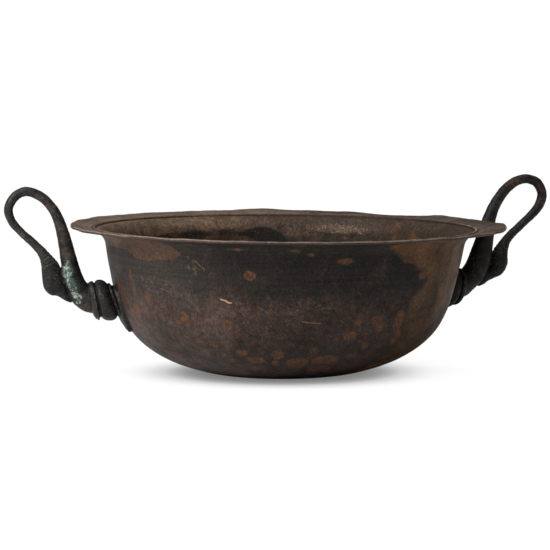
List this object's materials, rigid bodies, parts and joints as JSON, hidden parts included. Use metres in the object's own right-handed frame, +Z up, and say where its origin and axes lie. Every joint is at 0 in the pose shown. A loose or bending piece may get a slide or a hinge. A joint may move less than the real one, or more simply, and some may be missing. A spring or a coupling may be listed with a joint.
{
  "type": "bronze bowl",
  "caption": "Ancient bronze basin with a wide flange rim, a flat underside and two swan-neck loop handles soldered to its wall, for washing, mixing and serving.",
  "frame": {"origin": "centre of the flat underside that the bowl rests on", "axes": "+Z up out of the bowl, +X through the right handle's side, -X through the left handle's side"},
  "size_m": [0.4775, 0.3596, 0.1581],
  "materials": {
    "bowl_bronze": "aged brown patina, satin",
    "handle_bronze": "dark patina with green corrosion, satin"
  },
  "bodies": {
    "root": {"bowl": "bowl_bronze", "handle_left": "handle_bronze", "handle_right": "handle_bronze"}
  },
  "joints": []
}
